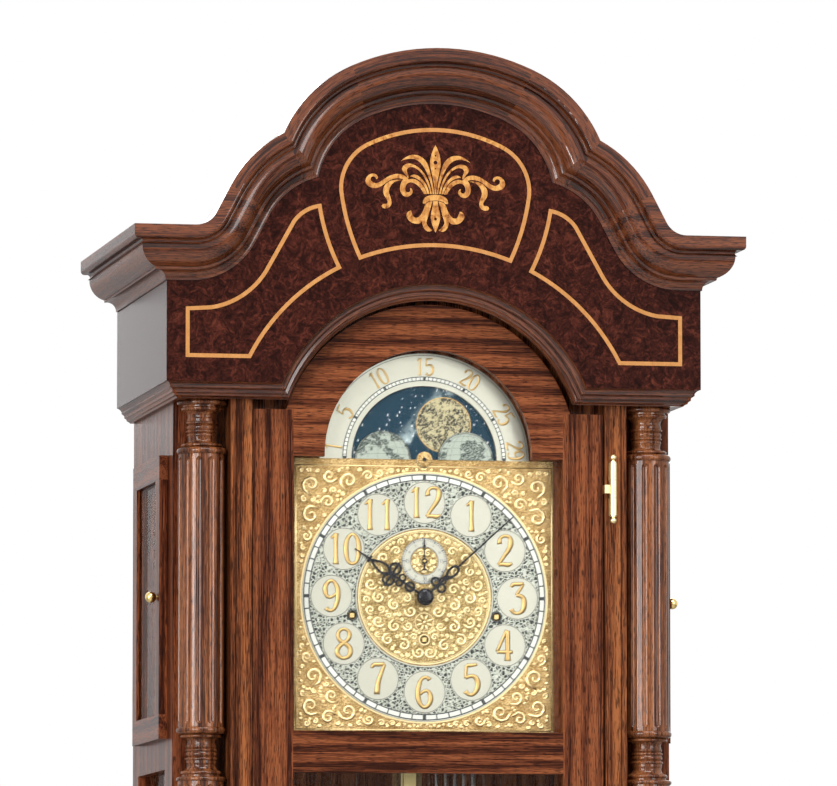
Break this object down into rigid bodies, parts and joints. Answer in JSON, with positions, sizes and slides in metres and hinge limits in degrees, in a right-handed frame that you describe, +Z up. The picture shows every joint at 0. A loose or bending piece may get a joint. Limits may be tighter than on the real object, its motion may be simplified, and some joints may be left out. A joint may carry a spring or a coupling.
{
  "type": "longcase clock",
  "caption": "Tall walnut floor clock: arched bonnet with inlay, fluted corner columns, full-length glass door, moon dial, pendulum and cable-hung weights.",
  "frame": {"origin": "middle of the footprint at floor level", "axes": "+Z up, front with the dial faces -Y, +X to the viewer's right"},
  "size_m": [0.656, 0.379, 2.2203],
  "materials": {
    "walnut": "satin varnish",
    "burl": "gloss varnish",
    "inlay": "gloss varnish",
    "glass": "clear",
    "brass": "polished",
    "gilt": "satin relief",
    "silvered": "silvered satin",
    "painted_disc": "satin",
    "blued_steel": "blackened",
    "steel": "satin"
  },
  "bodies": {
    "case": {"plinth": "walnut", "base_box": "walnut", "waist_moulding": "walnut", "floor_board": "walnut", "left_side": "walnut", "right_side": "walnut", "back_board": "walnut", "roof_board": "walnut", "left_post": "walnut", "right_post": "walnut", "left_column": "walnut", "right_column": "walnut", "cornice": "walnut", "hood_moulding": "walnut", "seatboard": "walnut", "dial_mask": "walnut", "base_panel": "burl", "frieze": "burl", "frieze_inlay": "inlay", "side_glasses": "glass", "post_hinges": "brass", "movement_plates": "brass", "dial_plate": "gilt", "dial_centre": "gilt", "dial_rings": "silvered", "globe_humps": "silvered", "chime_rods": "steel", "left_cable": "steel", "centre_cable": "steel", "right_cable": "steel"},
    "front_door": {"door_frame": "walnut", "door_glasses": "glass", "door_hinges": "brass"},
    "left_side_door": {"left_door_frame": "walnut", "left_door_glass": "glass", "left_door_fittings": "brass"},
    "right_side_door": {"right_door_frame": "walnut", "right_door_glass": "glass", "right_door_fittings": "brass"},
    "hour_work": {"hour_hand": "blued_steel"},
    "minute_work": {"minute_hand": "blued_steel", "centre_wheel": "brass"},
    "seconds_work": {"seconds_hand": "blued_steel", "escape_wheel": "brass"},
    "third_work": {"third_wheel": "brass"},
    "great_work": {"great_wheel": "brass"},
    "moon_work": {"moon_disc": "painted_disc"},
    "anchor_work": {"anchor": "steel"},
    "pendulum": {"pendulum_rod": "walnut", "pendulum_bob": "brass"},
    "hammer_set": {"hammers": "steel"},
    "left_drum_work": {"left_drum": "brass"},
    "left_weight_set": {"left_weight": "brass"},
    "left_pulley_set": {"left_pulley": "brass"},
    "centre_drum_work": {"centre_drum": "brass"},
    "centre_weight_set": {"centre_weight": "brass"},
    "centre_pulley_set": {"centre_pulley": "brass"},
    "right_drum_work": {"right_drum": "brass"},
    "right_weight_set": {"right_weight": "brass"},
    "right_pulley_set": {"right_pulley": "brass"}
  },
  "joints": [
    {"name": "front_door_hinge", "type": "hinge", "parent": "case", "child": "front_door", "pos_m": [0.198, -0.1218, 1.2], "axis": [0, 0, 1], "range_deg": [0, 110]},
    {"name": "right_side_door_hinge", "type": "hinge", "parent": "case", "child": "right_side_door", "pos_m": [0.2722, 0.139, 1.6465], "axis": [0, 0, 1], "range_deg": [0, 100]},
    {"name": "left_side_door_hinge", "type": "hinge", "parent": "case", "child": "left_side_door", "pos_m": [-0.2722, 0.139, 1.6465], "axis": [0, 0, -1], "range_deg": [0, 100]},
    {"name": "minute_turn", "type": "hinge", "parent": "case", "child": "minute_work", "pos_m": [0, -0.056, 1.6465], "axis": [0, 1, 0], "continuous": true},
    {"name": "hour_turn", "type": "hinge", "parent": "case", "child": "hour_work", "pos_m": [0, -0.089, 1.6465], "axis": [0, 1, 0], "continuous": true},
    {"name": "third_turn", "type": "hinge", "parent": "case", "child": "third_work", "pos_m": [0.0099, -0.047, 1.66967], "axis": [0, 1, 0], "continuous": true},
    {"name": "seconds_turn", "type": "hinge", "parent": "case", "child": "seconds_work", "pos_m": [0, -0.038, 1.685], "axis": [0, 1, 0], "continuous": true},
    {"name": "great_turn", "type": "hinge", "parent": "case", "child": "great_work", "pos_m": [0, -0.064, 1.6015], "axis": [0, 1, 0], "continuous": true},
    {"name": "moon_turn", "type": "hinge", "parent": "case", "child": "moon_work", "pos_m": [0, -0.0842, 1.793], "axis": [0, 1, 0], "continuous": true},
    {"name": "pendulum_swing", "type": "hinge", "parent": "case", "child": "pendulum", "pos_m": [0, 0.001, 1.7155], "axis": [0, 1, 0], "range_deg": [-3.5, 3.5]},
    {"name": "anchor_rock", "type": "hinge", "parent": "case", "child": "anchor_work", "pos_m": [0, -0.029, 1.7155], "axis": [0, 1, 0], "range_deg": [-3.5, 3.5]},
    {"name": "hammer_lift", "type": "hinge", "parent": "case", "child": "hammer_set", "pos_m": [0.068, 0.083, 1.553], "axis": [-1, 0, 0], "range_deg": [0, 20]},
    {"name": "left_weight_slide", "type": "slide", "parent": "case", "child": "left_weight_set", "axis": [0, 0, 1], "range_m": [0, 0.56], "deforming": ["left_cable"]},
    {"name": "left_drum_turn", "type": "hinge", "parent": "case", "child": "left_drum_work", "pos_m": [-0.078, -0.04, 1.6265], "axis": [0, 1, 0], "continuous": true},
    {"name": "left_pulley_turn", "type": "hinge", "parent": "left_weight_set", "child": "left_pulley_set", "pos_m": [-0.078, -0.042, 0.92], "axis": [0, 1, 0], "continuous": true},
    {"name": "centre_weight_slide", "type": "slide", "parent": "case", "child": "centre_weight_set", "axis": [0, 0, 1], "range_m": [0, 0.56], "deforming": ["centre_cable"]},
    {"name": "centre_drum_turn", "type": "hinge", "parent": "case", "child": "centre_drum_work", "pos_m": [0, -0.04, 1.6015], "axis": [0, 1, 0], "continuous": true},
    {"name": "centre_pulley_turn", "type": "hinge", "parent": "centre_weight_set", "child": "centre_pulley_set", "pos_m": [0, -0.042, 0.92], "axis": [0, 1, 0], "continuous": true},
    {"name": "right_weight_slide", "type": "slide", "parent": "case", "child": "right_weight_set", "axis": [0, 0, 1], "range_m": [0, 0.56], "deforming": ["right_cable"]},
    {"name": "right_drum_turn", "type": "hinge", "parent": "case", "child": "right_drum_work", "pos_m": [0.078, -0.04, 1.6265], "axis": [0, 1, 0], "continuous": true},
    {"name": "right_pulley_turn", "type": "hinge", "parent": "right_weight_set", "child": "right_pulley_set", "pos_m": [0.078, -0.042, 0.92], "axis": [0, 1, 0], "continuous": true}
  ],
  "couplings": [
    {"joint": "minute_turn", "follows": "seconds_turn", "ratio": 0.016667},
    {"joint": "hour_turn", "follows": "seconds_turn", "ratio": 0.0013889},
    {"joint": "third_turn", "follows": "seconds_turn", "ratio": -0.13333},
    {"joint": "great_turn", "follows": "seconds_turn", "ratio": -0.0011111},
    {"joint": "moon_turn", "follows": "seconds_turn", "ratio": 0.00001177},
    {"joint": "anchor_rock", "follows": "pendulum_swing", "ratio": 1},
    {"joint": "left_drum_turn", "follows": "left_weight_slide", "rad_per_m": -142.86},
    {"joint": "left_pulley_turn", "follows": "left_weight_slide", "rad_per_m": -71.429},
    {"joint": "centre_drum_turn", "follows": "centre_weight_slide", "rad_per_m": -142.86},
    {"joint": "centre_pulley_turn", "follows": "centre_weight_slide", "rad_per_m": -71.429},
    {"joint": "right_drum_turn", "follows": "right_weight_slide", "rad_per_m": -142.86},
    {"joint": "right_pulley_turn", "follows": "right_weight_slide", "rad_per_m": -71.429}
  ]
}
